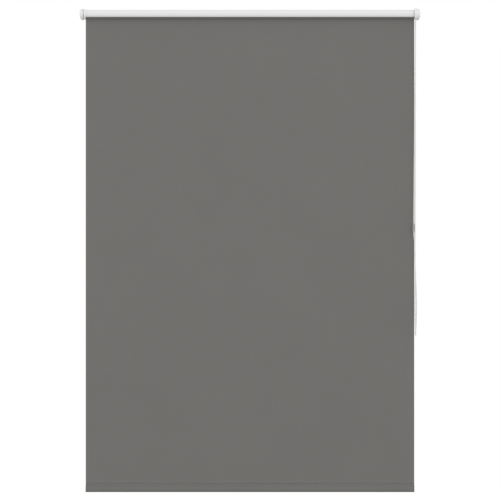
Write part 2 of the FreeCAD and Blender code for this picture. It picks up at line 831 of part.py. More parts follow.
def flat_bar(name, start, length, half, low, high, radius):
    """A flat bar along X with rounded long edges."""
    bar = new_body(name)
    section = new_sketch(bar, "YZ", start)
    rectangle(section, f"-{half}", low, half, high)
    solid = pad(bar, section, length)
    round_edges(bar, solid, lambda edge: edge.BoundBox.XLength > 0.1, radius)
    place(bar, LEFT, "-axis_from_wall")
    doc.recompute()
    return bar


def make_bottom_bar():
    half = "(lath_thickness / 2)"
    high = f"({LATH_BOTTOM} + lath_width)"
    middle = f"({LATH_BOTTOM} + lath_width / 2)"
    lath = flat_bar("lath", "cap_grip", "cloth_width - 2 * cap_grip", half, LATH_BOTTOM, high,
                    f"{half} * 9 / 10")
    bore = new_sketch(lath, "YZ")
    circle(bore, "0", middle, "spigot_diameter / 2 + push_fit")
    pocket_through(lath, bore)
    keep(lath, "bottom_bar")

    grip = flat_bar("cap_grip_block", "0", "cap_grip", half, LATH_BOTTOM, high, f"{half} * 9 / 10")
    face = flat_bar("cap_face", "-cap_overhang", "cap_overhang", HEM_HALF,
                    "-drop_length", f"{high} + cloth_thickness", f"{HEM_HALF} * 9 / 10")
    spigot = rod_along_x("cap_spigot", "spigot_diameter / 2", "spigot_length", LEFT,
                         "-axis_from_wall", middle)
    cap = keep(joined("MultiFuse", "bar_cap", [grip, face, spigot]), "bar_cap_left")
    mirrored(cap, "bar_cap_right")


# ---- chain ----

def smooth_route(points):
    """Straight runs joined by the largest tangent arcs that both runs allow."""
    runs = [(b - a).Length for a, b in zip(points, points[1:])]
    edges = []
    radii = []
    at = points[0]
    for i in range(1, len(points) - 1):
        back = (points[i - 1] - points[i]).normalize()
        onward = (points[i + 1] - points[i]).normalize()
        half_turn = (math.pi - back.getAngle(onward)) / 2
        cut = 0.45 * min(runs[i - 1], runs[i])
        radius = cut / math.tan(half_turn)
        radii.append(radius)
        start = points[i] + back * cut
        end = points[i] + onward * cut
        inward = (back + onward).normalize()
        middle = points[i] + inward * (radius / math.cos(half_turn) - radius)
        edges.append(Part.LineSegment(at, start).toShape())
        edges.append(Part.Arc(start, middle, end).toShape())
        at = end
    edges.append(Part.LineSegment(at, points[-1]).toShape())
    return Part.Wire(edges), radii


def make_chain():
    """The chain as a plain tube of the beads' diameter."""
    centre = Vector(size(f"{RIGHT} + {CHAIN_PLANE}"), -size("axis_from_wall"), 0)
    points = [centre + Vector(*offset) for offset in CHAIN_ROUTE]
    wire, radii = smooth_route(points)
    radius = size("bead_diameter / 2")
    section = Part.Wire(Part.makeCircle(radius, points[0], points[1] - points[0]))
    tube = wire.makePipeShell([section], True, False)
    exact = math.pi * radius ** 2 * wire.Length
    print("chain length", round(wire.Length, 1), "radii", [round(r, 1) for r in radii])
    print("chain volume over section times length", round(tube.Volume / exact, 4))
    chain = doc.addObject("Part::Feature", "chain_tube")
    chain.Shape = tube
    keep(chain, "bead_chain")
    return points[1], points[2]


def make_connector(upper, lower):
    """A two-part sleeve round the ends of the chain, on the front strand."""
    along = (upper - lower).normalize()
    share = (upper.z + size("connector_drop")) / (upper.z - lower.z)
    centre = upper + (lower - upper) * share
    turn = Rotation(Vector(1, 0, 0), along)
    half = "(connector_length / 2)"
    bore = "(connector_bore / 2)"
    step = f"({bore} + (connector_radius - {bore}) / 2)"
    chamfer = "(connector_radius / 5)"
    outlines = {
        "connector_socket": [
            ("0", step), ("0", "connector_radius"),
            (f"{half} - {chamfer}", "connector_radius"), (half, f"{step}"),
            (half, bore), ("connector_nose", bore), ("connector_nose", step),
        ],
        "connector_insert": [
            ("0", "connector_radius"), ("0", f"{step} - push_fit"),
            ("connector_nose - push_fit", f"{step} - push_fit"),
            ("connector_nose - push_fit", bore), (f"-{half}", bore), (f"-{half}", step),
            (f"{chamfer} - {half}", "connector_radius"),
        ],
    }
    for label, outline in outlines.items():
        sleeve = turned(label + "_sleeve", outline, "0")
        for axis in "xyz":
            sleeve.setExpression(f"Placement.Base.{axis}", None)
        sleeve.Placement = Placement(centre, turn)
        doc.recompute()
        keep(sleeve, label)
    print("connector centre", centre, "travels along", along)


bracket = make_bracket()
mirrored(bracket, "idle_bracket", IDLE_MIRROR)
cover = make_cover()
mirrored(cover, "idle_cover", IDLE_MIRROR)
make_chain_guard()
make_spindle()
make_spindle_clip()
make_fixing_screw()
make_chain_wheel()
make_wheel_beads()
make_wrap_springs()
make_clutch_drum()
make_idle_plug()
make_pin_spring(make_idle_pin())
make_roller()
make_cloth()
make_bottom_bar()
make_connector(*make_chain())

doc.recompute()
faults = [o.Label for o in doc.Objects if "Invalid" in o.State or "Error" in o.State]
faults += [o.Label for o in nodes if o.Shape.isNull() or not o.Shape.isValid()]
if faults:
    raise ValueError(f"these are not sound: {faults}")
os.makedirs("parts", exist_ok=True)
for node in nodes:
    node.Shape.exportStep(f"parts/{node.Label}.step")
print(len(nodes), "sub-parts written")
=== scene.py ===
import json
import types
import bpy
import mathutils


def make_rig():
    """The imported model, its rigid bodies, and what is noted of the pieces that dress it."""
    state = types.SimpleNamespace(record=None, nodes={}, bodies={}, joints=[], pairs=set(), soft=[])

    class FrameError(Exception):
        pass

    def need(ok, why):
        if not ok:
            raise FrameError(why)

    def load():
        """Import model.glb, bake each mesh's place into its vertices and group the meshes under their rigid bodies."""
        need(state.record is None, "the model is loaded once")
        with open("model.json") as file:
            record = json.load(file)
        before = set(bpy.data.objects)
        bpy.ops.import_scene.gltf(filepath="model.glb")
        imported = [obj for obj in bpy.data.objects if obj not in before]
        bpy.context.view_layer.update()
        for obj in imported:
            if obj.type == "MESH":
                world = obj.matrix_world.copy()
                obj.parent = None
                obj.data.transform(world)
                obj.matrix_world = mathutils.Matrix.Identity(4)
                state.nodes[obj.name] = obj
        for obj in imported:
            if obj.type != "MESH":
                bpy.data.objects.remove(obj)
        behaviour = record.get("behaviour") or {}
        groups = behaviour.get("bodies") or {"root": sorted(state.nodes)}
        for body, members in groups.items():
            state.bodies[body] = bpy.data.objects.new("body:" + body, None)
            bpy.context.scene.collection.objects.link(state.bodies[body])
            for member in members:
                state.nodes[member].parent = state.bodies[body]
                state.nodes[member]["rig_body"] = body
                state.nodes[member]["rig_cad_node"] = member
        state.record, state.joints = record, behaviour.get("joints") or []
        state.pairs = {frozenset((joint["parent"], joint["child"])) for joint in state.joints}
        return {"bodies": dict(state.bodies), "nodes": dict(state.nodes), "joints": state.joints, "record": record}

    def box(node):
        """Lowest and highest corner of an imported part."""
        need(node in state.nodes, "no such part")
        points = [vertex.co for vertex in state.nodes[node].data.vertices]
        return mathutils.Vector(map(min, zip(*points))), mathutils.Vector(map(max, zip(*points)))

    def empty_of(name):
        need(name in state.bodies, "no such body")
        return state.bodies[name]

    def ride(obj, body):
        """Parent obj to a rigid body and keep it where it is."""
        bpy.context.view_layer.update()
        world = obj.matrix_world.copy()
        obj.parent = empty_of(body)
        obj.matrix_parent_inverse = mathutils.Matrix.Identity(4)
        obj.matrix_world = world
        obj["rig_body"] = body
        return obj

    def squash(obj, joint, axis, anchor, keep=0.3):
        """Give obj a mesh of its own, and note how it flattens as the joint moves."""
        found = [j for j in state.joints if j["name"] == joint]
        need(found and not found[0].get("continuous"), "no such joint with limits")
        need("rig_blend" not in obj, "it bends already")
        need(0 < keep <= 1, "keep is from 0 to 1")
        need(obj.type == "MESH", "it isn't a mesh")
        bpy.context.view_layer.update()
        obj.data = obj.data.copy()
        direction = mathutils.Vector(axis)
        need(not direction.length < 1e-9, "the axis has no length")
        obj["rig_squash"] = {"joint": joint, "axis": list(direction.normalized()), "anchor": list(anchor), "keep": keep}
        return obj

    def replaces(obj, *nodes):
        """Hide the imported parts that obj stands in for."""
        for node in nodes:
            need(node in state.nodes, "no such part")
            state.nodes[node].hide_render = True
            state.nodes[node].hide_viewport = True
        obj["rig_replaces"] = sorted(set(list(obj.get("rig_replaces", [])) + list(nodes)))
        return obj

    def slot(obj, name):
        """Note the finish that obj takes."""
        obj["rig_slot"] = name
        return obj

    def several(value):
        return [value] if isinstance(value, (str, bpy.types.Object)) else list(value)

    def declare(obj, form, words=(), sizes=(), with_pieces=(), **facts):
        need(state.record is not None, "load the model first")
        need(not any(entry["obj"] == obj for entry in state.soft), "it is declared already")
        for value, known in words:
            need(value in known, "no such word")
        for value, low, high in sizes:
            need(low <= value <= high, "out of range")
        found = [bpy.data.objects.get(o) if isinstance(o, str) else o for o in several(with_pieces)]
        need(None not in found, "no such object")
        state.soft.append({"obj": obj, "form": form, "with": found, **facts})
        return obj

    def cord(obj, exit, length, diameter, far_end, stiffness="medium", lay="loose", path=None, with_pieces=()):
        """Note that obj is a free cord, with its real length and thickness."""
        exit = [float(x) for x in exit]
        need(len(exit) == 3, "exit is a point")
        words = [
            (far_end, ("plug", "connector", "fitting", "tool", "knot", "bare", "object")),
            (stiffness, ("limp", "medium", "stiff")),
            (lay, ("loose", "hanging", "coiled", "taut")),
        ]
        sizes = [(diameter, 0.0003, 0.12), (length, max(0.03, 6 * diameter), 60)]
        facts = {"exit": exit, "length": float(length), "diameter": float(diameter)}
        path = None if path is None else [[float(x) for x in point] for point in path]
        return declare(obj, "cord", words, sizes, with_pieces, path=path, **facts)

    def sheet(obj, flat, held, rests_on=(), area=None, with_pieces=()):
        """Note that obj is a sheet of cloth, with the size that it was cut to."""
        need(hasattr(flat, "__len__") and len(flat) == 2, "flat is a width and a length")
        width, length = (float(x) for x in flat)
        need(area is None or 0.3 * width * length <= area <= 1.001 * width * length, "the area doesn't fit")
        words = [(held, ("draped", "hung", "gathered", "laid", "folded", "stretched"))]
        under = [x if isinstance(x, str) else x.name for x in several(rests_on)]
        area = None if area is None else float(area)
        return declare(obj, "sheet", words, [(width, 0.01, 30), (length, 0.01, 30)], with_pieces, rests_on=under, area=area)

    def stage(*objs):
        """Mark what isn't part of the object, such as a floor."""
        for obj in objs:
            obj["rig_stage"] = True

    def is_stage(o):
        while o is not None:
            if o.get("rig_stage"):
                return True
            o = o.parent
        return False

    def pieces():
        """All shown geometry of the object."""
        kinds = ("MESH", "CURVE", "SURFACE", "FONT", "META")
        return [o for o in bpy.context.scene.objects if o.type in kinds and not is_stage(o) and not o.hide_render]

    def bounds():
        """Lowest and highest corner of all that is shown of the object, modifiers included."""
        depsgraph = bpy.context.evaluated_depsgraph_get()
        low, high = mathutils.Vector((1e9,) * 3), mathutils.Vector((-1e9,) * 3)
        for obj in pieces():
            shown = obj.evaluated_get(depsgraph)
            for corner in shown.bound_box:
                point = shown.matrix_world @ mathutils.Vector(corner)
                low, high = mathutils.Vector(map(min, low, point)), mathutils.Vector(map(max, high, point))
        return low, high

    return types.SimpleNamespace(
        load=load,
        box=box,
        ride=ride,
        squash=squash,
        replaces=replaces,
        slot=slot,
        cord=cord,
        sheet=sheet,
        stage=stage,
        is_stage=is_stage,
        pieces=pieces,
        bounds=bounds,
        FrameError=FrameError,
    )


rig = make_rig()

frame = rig.load()

import json
import math
import bpy
from mathutils import Matrix, Vector, noise

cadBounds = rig.bounds()  # the whole object's box as the CAD gives it
nodes = frame["nodes"]
joints = {joint["name"]: joint for joint in frame["joints"]}

# places that the frame gives
tubeLow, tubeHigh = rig.box("roller_tube")
panelLow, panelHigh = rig.box("fabric_panel")
wrapLow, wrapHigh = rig.box("fabric_wrap")
hemLow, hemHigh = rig.box("hem")
beadsLow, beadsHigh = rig.box("wheel_beads")
socketLow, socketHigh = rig.box("connector_socket")
insertLow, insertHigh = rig.box("connector_insert")
springLow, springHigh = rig.box("idle_pin_spring")
axisY = (tubeLow.y + tubeHigh.y) / 2
tubeRadius = (tubeHigh.z - tubeLow.z) / 2
edgeX = tubeHigh.x  # the cloth's right-hand edge
clothThickness = panelHigh.y - panelLow.y
wheelCentre = Vector(((beadsLow.x + beadsHigh.x) / 2, axisY, 0))
mergeDistance = 1e-6  # vertices closer than this are one


# small helpers
def clearSelection():
    if bpy.context.mode != "OBJECT":
        bpy.ops.object.mode_set(mode="OBJECT")
    bpy.ops.object.select_all(action="DESELECT")


def makeActive(obj):
    clearSelection()
    obj.select_set(True)
    bpy.context.view_layer.objects.active = obj
    return obj


def nameIt(name):
    obj = bpy.context.object
    obj.name = name
    obj.data.name = name
    return obj


def settle(obj):
    makeActive(obj)
    bpy.ops.object.transform_apply(location=True, rotation=True, scale=True)
    return obj


def applyModifier(obj, kind, **values):
    makeActive(obj)
    modifier = obj.modifiers.new(kind.lower(), kind)
    for key, value in values.items():
        setattr(modifier, key, value)
    bpy.ops.object.modifier_apply(modifier=modifier.name)
    return obj


def smoothByAngle(obj, degrees=35):
    makeActive(obj)
    bpy.ops.object.shade_smooth_by_angle(angle=math.radians(degrees))
    return obj


def outwards(obj):
    makeActive(obj)
    bpy.ops.object.mode_set(mode="EDIT")
    bpy.ops.mesh.select_all(action="SELECT")
    bpy.ops.mesh.remove_doubles(threshold=mergeDistance)
    bpy.ops.mesh.normals_make_consistent(inside=False)
    bpy.ops.object.mode_set(mode="OBJECT")
    return obj


# goes to edit mode with only those faces selected whose middle suits
def pickFaces(obj, chosen):
    makeActive(obj)
    bpy.ops.object.mode_set(mode="EDIT")
    bpy.ops.mesh.select_all(action="DESELECT")
    bpy.ops.mesh.select_mode(type="FACE")
    bpy.ops.object.mode_set(mode="OBJECT")
    for face in obj.data.polygons:
        face.select = chosen(face.center)
    bpy.ops.object.mode_set(mode="EDIT")


def joinPieces(name, pieces):
    clearSelection()
    for piece in pieces:
        piece.select_set(True)
    bpy.context.view_layer.objects.active = pieces[0]
    bpy.ops.object.join()
    return nameIt(name)


# the piece's material, its body, the nodes it stands for and its slot
def finishPiece(obj, body, replaced, slot, material=None):
    if material:
        obj.data.materials.clear()
        obj.data.materials.append(materials[material])
    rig.ride(obj, body)
    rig.replaces(obj, *replaced)
    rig.slot(obj, slot)
    return obj


def newLine(name, points, kind="POLY", **settings):  # a curve through, or guided by, the points
    curve = bpy.data.curves.new(name, "CURVE")
    curve.dimensions = "3D"
    spline = curve.splines.new(kind)
    spline.points.add(len(points) - 1)
    for point, place in zip(spline.points, points):
        point.co = (*place, 1)
    for key, value in settings.items():
        setattr(curve, key, value)
    obj = bpy.data.objects.new(name, curve)
    bpy.context.scene.collection.objects.link(obj)
    return obj


def lineToMesh(line, name):
    makeActive(line)
    bpy.ops.object.convert(target="MESH")
    return nameIt(name)


# camera
cameraSettings = {
    "lens": 400,  # millimetres: long, for a flat straight-on view
    "sensor": 36,
    "viewWidth": 1.5436,  # metres across the view, level with the roller's axis
    "lift": 0.0009,  # the aim stands this far above the object's middle
    "farthest": 80,  # metres: nothing beyond is drawn
}


def placeCamera():
    distance = cameraSettings["viewWidth"] * cameraSettings["lens"] / cameraSettings["sensor"]
    aimHeight = (cadBounds[0][2] + cadBounds[1][2]) / 2 + cameraSettings["lift"]
    camera = bpy.data.cameras.new("frontCamera")
    camera.lens = cameraSettings["lens"]
    camera.sensor_width = cameraSettings["sensor"]
    camera.clip_end = cameraSettings["farthest"]
    seat = bpy.data.objects.new("frontCamera", camera)
    seat.location = (0, axisY - distance, aimHeight)
    seat.rotation_euler = (math.pi / 2, 0, 0)
    bpy.context.scene.collection.objects.link(seat)
    bpy.context.scene.camera = seat


placeCamera()
print("camera placed")

# materials
materials = {}


def newMaterial(name, colour, roughness, **sockets):
    material = bpy.data.materials.new(name)
    material.use_nodes = True
    shader = material.node_tree.nodes["Principled BSDF"]
    shader.inputs["Base Color"].default_value = (*colour, 1)
    shader.inputs["Roughness"].default_value = roughness
    for socket, value in sockets.items():
        shader.inputs[socket.replace("_", " ")].default_value = value
    materials[name] = material
    return material.node_tree.nodes, material.node_tree.links, shader


def scaledPlace(nodeList, links, source, scale):
    mapping = nodeList.new("ShaderNodeMapping")
    mapping.inputs["Scale"].default_value = scale
    links.new(source, mapping.inputs["Vector"])
    return mapping.outputs["Vector"]


def noiseFrom(nodeList, links, place, scale, detail=3):
    texture = nodeList.new("ShaderNodeTexNoise")
    texture.inputs["Scale"].default_value = scale
    texture.inputs["Detail"].default_value = detail
    links.new(place, texture.inputs["Vector"])
    return texture.outputs["Fac"]


def spread(nodeList, links, source, low, high, sourceLow=0.0, sourceHigh=1.0):
    node = nodeList.new("ShaderNodeMapRange")
    node.inputs["From Min"].default_value = sourceLow
    node.inputs["From Max"].default_value = sourceHigh
    node.inputs["To Min"].default_value = low
    node.inputs["To Max"].default_value = high
    links.new(source, node.inputs["Value"])
    return node.outputs["Result"]


def calculate(nodeList, links, operation, first, second):  # each a number or another node's output
    node = nodeList.new("ShaderNodeMath")
    node.operation = operation
    for socket, value in zip(node.inputs, (first, second)):
        if isinstance(value, (int, float)):
            socket.default_value = value
        else:
            links.new(value, socket)
    return node.outputs[0]


def tint(nodeList, links, shader, factor, dark, light):
    mix = nodeList.new("ShaderNodeMix")
    mix.data_type = "RGBA"
    mix.inputs["A"].default_value = (*dark, 1)
    mix.inputs["B"].default_value = (*light, 1)
    links.new(factor, mix.inputs["Factor"])
    links.new(mix.outputs["Result"], shader.inputs["Base Color"])


def bump(nodeList, links, shader, height, distance):
    node = nodeList.new("ShaderNodeBump")
    node.inputs["Distance"].default_value = distance
    links.new(height, node.inputs["Height"])
    links.new(node.outputs["Normal"], shader.inputs["Normal"])


def shade(colour, share):
    return tuple(part * share for part in colour)


clothLook = {
    "colour": (0.1800, 0.1770, 0.1690),
    "roughness": 0.9,
    "sheen": 0.06,
    "sheenRoughness": 0.5,
    "gloss": 0.3,
    "threadPitch": 0.0006,  # between neighbouring threads
    "threadWander": 0.5,  # how unevenly they lie
    "weaveDepth": 0.00004,
    "weaveHeight": 2,  # this and the slubs' height are beside the fuzz, which is 1
    "slubHeight": 0.8,
    "slubLong": 12,  # patches in a metre along a thread
    "slubClose": 900,  # and across it
    "fuzzScale": 1800,
    "cloudScale": 5,
    "reach": 0.2,  # the colour may be this share darker or lighter
    "slub": 0.03,  # how much thicker and thinner threads change the colour
    "cloud": 0.015,
    "pressAndShade": 0.10,  # how much darker the weld and the sharp bottom edge are painted: painted shade of the weld's groove, partly its pressed coating, and painted shade of the bottom edge turning under
}


def weaveHeight(nodeList, links, place):  # one thread over, the next one under
    threads = []
    for direction in "XY":
        wave = nodeList.new("ShaderNodeTexWave")
        wave.bands_direction = direction
        wave.inputs["Scale"].default_value = math.pi / 10 / (2 * clothLook["threadPitch"])  # two threads a wave
        wave.inputs["Distortion"].default_value = clothLook["threadWander"]
        wave.inputs["Detail"].default_value = 1
        links.new(place, wave.inputs["Vector"])
        threads.append(calculate(nodeList, links, "SUBTRACT", wave.outputs["Fac"], 0.5))
    overUnder = calculate(nodeList, links, "MULTIPLY", *threads)
    return spread(nodeList, links, overUnder, 0, clothLook["weaveHeight"], -0.25, 0.25)


def slubsOf(nodeList, links, place):  # thicker and thinner threads, both ways
    long, close = clothLook["slubLong"], clothLook["slubClose"]
    across = noiseFrom(nodeList, links, scaledPlace(nodeList, links, place, (long, close, 1)), 1, 2)
    along = noiseFrom(nodeList, links, scaledPlace(nodeList, links, place, (close, long, 1)), 1, 2)
    return calculate(nodeList, links, "ADD", across, along)


def makeClothMaterial():  # a fine plain weave, dyed grey, with a matt coating
    nodeList, links, shader = newMaterial("cloth", clothLook["colour"], clothLook["roughness"],
                                          Sheen_Weight=clothLook["sheen"],
                                          Sheen_Roughness=clothLook["sheenRoughness"],
                                          Specular_IOR_Level=clothLook["gloss"])
    place = nodeList.new("ShaderNodeUVMap").outputs["UV"]
    weave = weaveHeight(nodeList, links, place)
    slubs = slubsOf(nodeList, links, place)
    fuzz = noiseFrom(nodeList, links, place, clothLook["fuzzScale"], 2)
    cloud = noiseFrom(nodeList, links, place, clothLook["cloudScale"], 2)
    raised = calculate(nodeList, links, "MULTIPLY", slubs, clothLook["slubHeight"])
    height = calculate(nodeList, links, "ADD", weave, calculate(nodeList, links, "ADD", raised, fuzz))
    bump(nodeList, links, shader, height, clothLook["weaveDepth"])
    # painted shade read from the pocket's attribute: at the weld's groove, partly its pressed coating, and along the
    # bottom edge turning under
    pressAndShade = nodeList.new("ShaderNodeAttribute")
    pressAndShade.attribute_name = "pressAndShade"
    reach = clothLook["reach"]
    slubShare, cloudShare, pressShadeShare = (clothLook[key] / reach / 2 for key in ("slub", "cloud", "pressAndShade"))
    factor = calculate(nodeList, links, "ADD",
                       spread(nodeList, links, slubs, 0.5 - slubShare, 0.5 + slubShare, 0.75, 1.25),
                       spread(nodeList, links, cloud, -cloudShare, cloudShare, 0.25, 0.75))
    factor = calculate(nodeList, links, "SUBTRACT", factor,
                       calculate(nodeList, links, "MULTIPLY", pressAndShade.outputs["Fac"], pressShadeShare))
    tint(nodeList, links, shader, factor, shade(clothLook["colour"], 1 - reach),
         shade(clothLook["colour"], 1 + reach))


plasticLook = {
    "grainScale": 2600,
    "cloudScale": 110,
    "cloudShare": 0.97,  # the darker patches' share of the colour
    "glossier": 0.06,  # how far the roughness strays down
    "duller": 0.08,  # and up
}
plastics = {
    "whiteTube": {"colour": (0.83, 0.83, 0.825), "roughness": 0.36},
    "whitePlastic": {"colour": (0.86, 0.86, 0.855), "roughness": 0.30},
    "bead": {"colour": (0.82, 0.82, 0.80), "roughness": 0.28},
    "thread": {"colour": (0.76, 0.76, 0.74), "roughness": 0.75, "grain": 0.00003},
    "connector": {"colour": (0.46, 0.46, 0.45), "roughness": 0.32,  # milky, a little see-through
                  "Transmission_Weight": 0.25, "Subsurface_Weight": 0.15, "Subsurface_Scale": 0.002},
    "greyPlastic": {"colour": (0.55, 0.55, 0.56), "roughness": 0.45},
    "capPlastic": {"colour": (0.075, 0.075, 0.073), "roughness": 0.5},
}


# moulded plastic or paint: a faint cloudiness and a fine skin
def makePlastic(name, colour, roughness, grain=0.00001, **sockets):
    nodeList, links, shader = newMaterial(name, colour, roughness, **sockets)
    place = nodeList.new("ShaderNodeTexCoord").outputs["Object"]
    fine = noiseFrom(nodeList, links, place, plasticLook["grainScale"])
    cloud = noiseFrom(nodeList, links, place, plasticLook["cloudScale"], 2)
    tint(nodeList, links, shader, cloud, shade(colour, plasticLook["cloudShare"]), colour)
    gloss = spread(nodeList, links, fine, roughness - plasticLook["glossier"],
                   roughness + plasticLook["duller"])
    links.new(gloss, shader.inputs["Roughness"])
    bump(nodeList, links, shader, fine, grain)


metalLook = {
    "markScale": 1500,
    "markDepth": 0.000012,
    "patchScale": 160,
    "patchShare": 0.82,  # the darker patches' share of the colour
    "glossier": 0.1,
    "duller": 0.14,
}
metals = {  # drawn: the smaller an axis's number, the longer the marks along it
    "brightSteel": {"colour": (0.60, 0.60, 0.61), "roughness": 0.28, "drawn": (0.15, 1, 1)},
    "springSteel": {"colour": (0.42, 0.42, 0.44), "roughness": 0.33, "drawn": (1, 1, 1)},
    "bareAluminium": {"colour": (0.78, 0.78, 0.79), "roughness": 0.4, "drawn": (0.04, 1, 1)},
}


def makeMetal(name, colour, roughness, drawn):  # fine marks and a patchy surface
    nodeList, links, shader = newMaterial(name, colour, roughness, Metallic=1.0)
    place = nodeList.new("ShaderNodeTexCoord").outputs["Object"]
    marks = noiseFrom(nodeList, links, scaledPlace(nodeList, links, place, drawn), metalLook["markScale"], 4)
    patches = noiseFrom(nodeList, links, place, metalLook["patchScale"])
    tint(nodeList, links, shader, patches, shade(colour, metalLook["patchShare"]), colour)
    gloss = spread(nodeList, links, marks, roughness - metalLook["glossier"],
                   roughness + metalLook["duller"])
    links.new(gloss, shader.inputs["Roughness"])
    bump(nodeList, links, shader, marks, metalLook["markDepth"])


zincLook = {
    "colour": (0.63, 0.64, 0.66),
    "crystalScale": 1100,
    "shades": (0.92, 1.04),  # shares of the colour, crystal by crystal
    "roughness": 0.4,
    "roughnessRange": (0.34, 0.46),
    "grainScale": 1400,
    "grainDepth": 0.00001,
}


def makeSpangle():  # zinc plating: small bright and dull crystals
    nodeList, links, shader = newMaterial("zincSteel", zincLook["colour"], zincLook["roughness"],
                                          Metallic=1.0)
    place = nodeList.new("ShaderNodeTexCoord").outputs["Object"]
    crystals = nodeList.new("ShaderNodeTexVoronoi")
    crystals.inputs["Scale"].default_value = zincLook["crystalScale"]
    links.new(place, crystals.inputs["Vector"])
    brightness = nodeList.new("ShaderNodeSeparateColor")
    links.new(crystals.outputs["Color"], brightness.inputs["Color"])
    dark, light = (shade(zincLook["colour"], share) for share in zincLook["shades"])
    tint(nodeList, links, shader, brightness.outputs[0], dark, light)
    gloss = spread(nodeList, links, brightness.outputs[1], *zincLook["roughnessRange"])
    links.new(gloss, shader.inputs["Roughness"])
    grain = noiseFrom(nodeList, links, place, zincLook["grainScale"])
    bump(nodeList, links, shader, grain, zincLook["grainDepth"])


tapeLook = {
    "colour": (0.70, 0.68, 0.62),
    "roughness": 0.55,
    "fibreScale": 1900,
    "stretch": (0.3, 1, 1),  # the fibres lie along the tube
    "fibreShare": 0.85,  # the darker fibres' share of the colour
    "fibreDepth": 0.00003,
}


def makeTape():
    nodeList, links, shader = newMaterial("tape", tapeLook["colour"], tapeLook["roughness"])
    place = nodeList.new("ShaderNodeTexCoord").outputs["Object"]
    lengthwise = scaledPlace(nodeList, links, place, tapeLook["stretch"])
    fibres = noiseFrom(nodeList, links, lengthwise, tapeLook["fibreScale"], 4)
    tint(nodeList, links, shader, fibres, shade(tapeLook["colour"], tapeLook["fibreShare"]), tapeLook["colour"])
    bump(nodeList, links, shader, fibres, tapeLook["fibreDepth"])


makeClothMaterial()
for plasticName, look in plastics.items():
    makePlastic(plasticName, **look)
makeTape()
makeSpangle()
for metalName, look in metals.items():
    makeMetal(metalName, **look)
print("materials made")

nodeMaterials = {
    "zincSteel": ["control_bracket", "idle_bracket", "spindle_washer"],
    "whitePlastic": ["control_cover", "idle_cover", "chain_guard", "idle_plug"],
    "brightSteel": ["clutch_spindle", "spindle_screw", "idle_pin"],
    "springSteel": ["spindle_clip", "wrap_springs"],
    "greyPlastic": ["idle_bush", "clutch_drum", "plug_cap", "chain_wheel", "pin_collar"],
    "capPlastic": ["bar_cap_left", "bar_cap_right"],
    "bareAluminium": ["bottom_bar"],
    "tape": ["adhesive_tape"],
}
for materialName, nodeNames in nodeMaterials.items():
    for nodeName in nodeNames:
        nodes[nodeName].data.materials.clear()
        nodes[nodeName].data.materials.append(materials[materialName])

# bead chain
chain = {
    "beadDiameter": 0.0045,
    "pitch": 0.006,
    "threadDiameter": 0.0013,
    "collar": 0.12,  # of the bead's radius: the little neck where the thread goes in
    "poleShare": 0.86,  # of the bead's radius: faces beyond it are at a pole
    "beadSides": 12,
    "beadRings": 6,
    "lineSmoothness": 24,  # points on the route for each of its guide points
    "threadSmoothness": 2,
    "wheelBeads": 5,
    "arcSteps": 32,  # of the thread over the wheel
    # the route: offsets from the wheel's centre, down the front strand and up the back one
    "route": [
        (0.0, -0.00784, -0.0030),
        (-0.0002, -0.0080, -0.0390),
        (-0.0054, -0.00880, -0.6080),
        (-0.0061, -0.0089, -0.6800),
        (-0.0020, -0.0092, -0.7040),
        (-0.0013, -0.0091, -0.7460),
        (-0.0013, -0.0087, -0.7990),
        (-0.0016, -0.0089, -0.8520),
        (-0.0024, -0.0106, -0.9030),
        (-0.0019, -0.0140, -0.9400),
        (-0.0010, -0.0156, -0.9620),
        (-0.0003, -0.0150, -0.9798),
        (0.0001, -0.0063, -0.9892),
        (0.0005, 0.0062, -0.9890),
        (0.0010, 0.0150, -0.9800),
        (0.0018, 0.0155, -0.9625),
        (0.0027, 0.0139, -0.9400),
        (0.0030, 0.0106, -0.9000),
        (0.0017, 0.0086, -0.8460),
        (-0.0005, 0.0081, -0.7840),
        (-0.0017, 0.0084, -0.7220),
        (0.0001, 0.00795, -0.0390),
        (0.0, 0.00784, -0.0030),
    ],
}


def pointsOnLine(line):
    bpy.context.view_layer.update()
    mesh = bpy.data.meshes.new_from_object(line)
    points = [vertex.co.copy() for vertex in mesh.vertices]
    bpy.data.meshes.remove(mesh)
    return points


def walk(points, distances):  # the place and direction at each distance along the points
    found = []
    travelled = 0
    leg = 0
    for distance in distances:
        while leg < len(points) - 2 and travelled + (points[leg + 1] - points[leg]).length < distance:
            travelled += (points[leg + 1] - points[leg]).length
            leg += 1
        direction = (points[leg + 1] - points[leg]).normalized()
        found.append((points[leg] + direction * (distance - travelled), direction))
    return found


def makeBead():  # one bead, its poles on the thread, each pole drawn out into a short neck
    clearSelection()
    radius = chain["beadDiameter"] / 2
    bpy.ops.mesh.primitive_uv_sphere_add(segments=chain["beadSides"], ring_count=chain["beadRings"],
                                         radius=radius)
    bead = nameIt("bead")
    for end in (1, -1):
        pickFaces(bead, lambda middle: middle.z * end > chain["poleShare"] * radius)
        bpy.ops.mesh.inset(thickness=radius * chain["collar"], depth=radius * chain["collar"] / 2)
    bpy.ops.object.mode_set(mode="OBJECT")
    bpy.ops.object.shade_smooth()
    bead.data.materials.append(materials["bead"])
    return bead


def stringBeads(bead, places):  # copies of the bead, each turned to lie along the thread
    copies = []
    for place, direction in places:
        copy = bead.copy()
        copy.data = bead.data.copy()
        turn = direction.to_track_quat("Z", "Y").to_matrix().to_4x4()
        copy.matrix_world = Matrix.Translation(place) @ turn
        bpy.context.scene.collection.objects.link(copy)
        copies.append(copy)
    return copies


def makeThread(line, name):
    line.data.bevel_depth = chain["threadDiameter"] / 2
    line.data.bevel_resolution = chain["threadSmoothness"]
    line.data.use_fill_caps = True
    thread = lineToMesh(line, name)
    thread.data.materials.append(materials["thread"])
    bpy.ops.object.shade_smooth()
    return thread


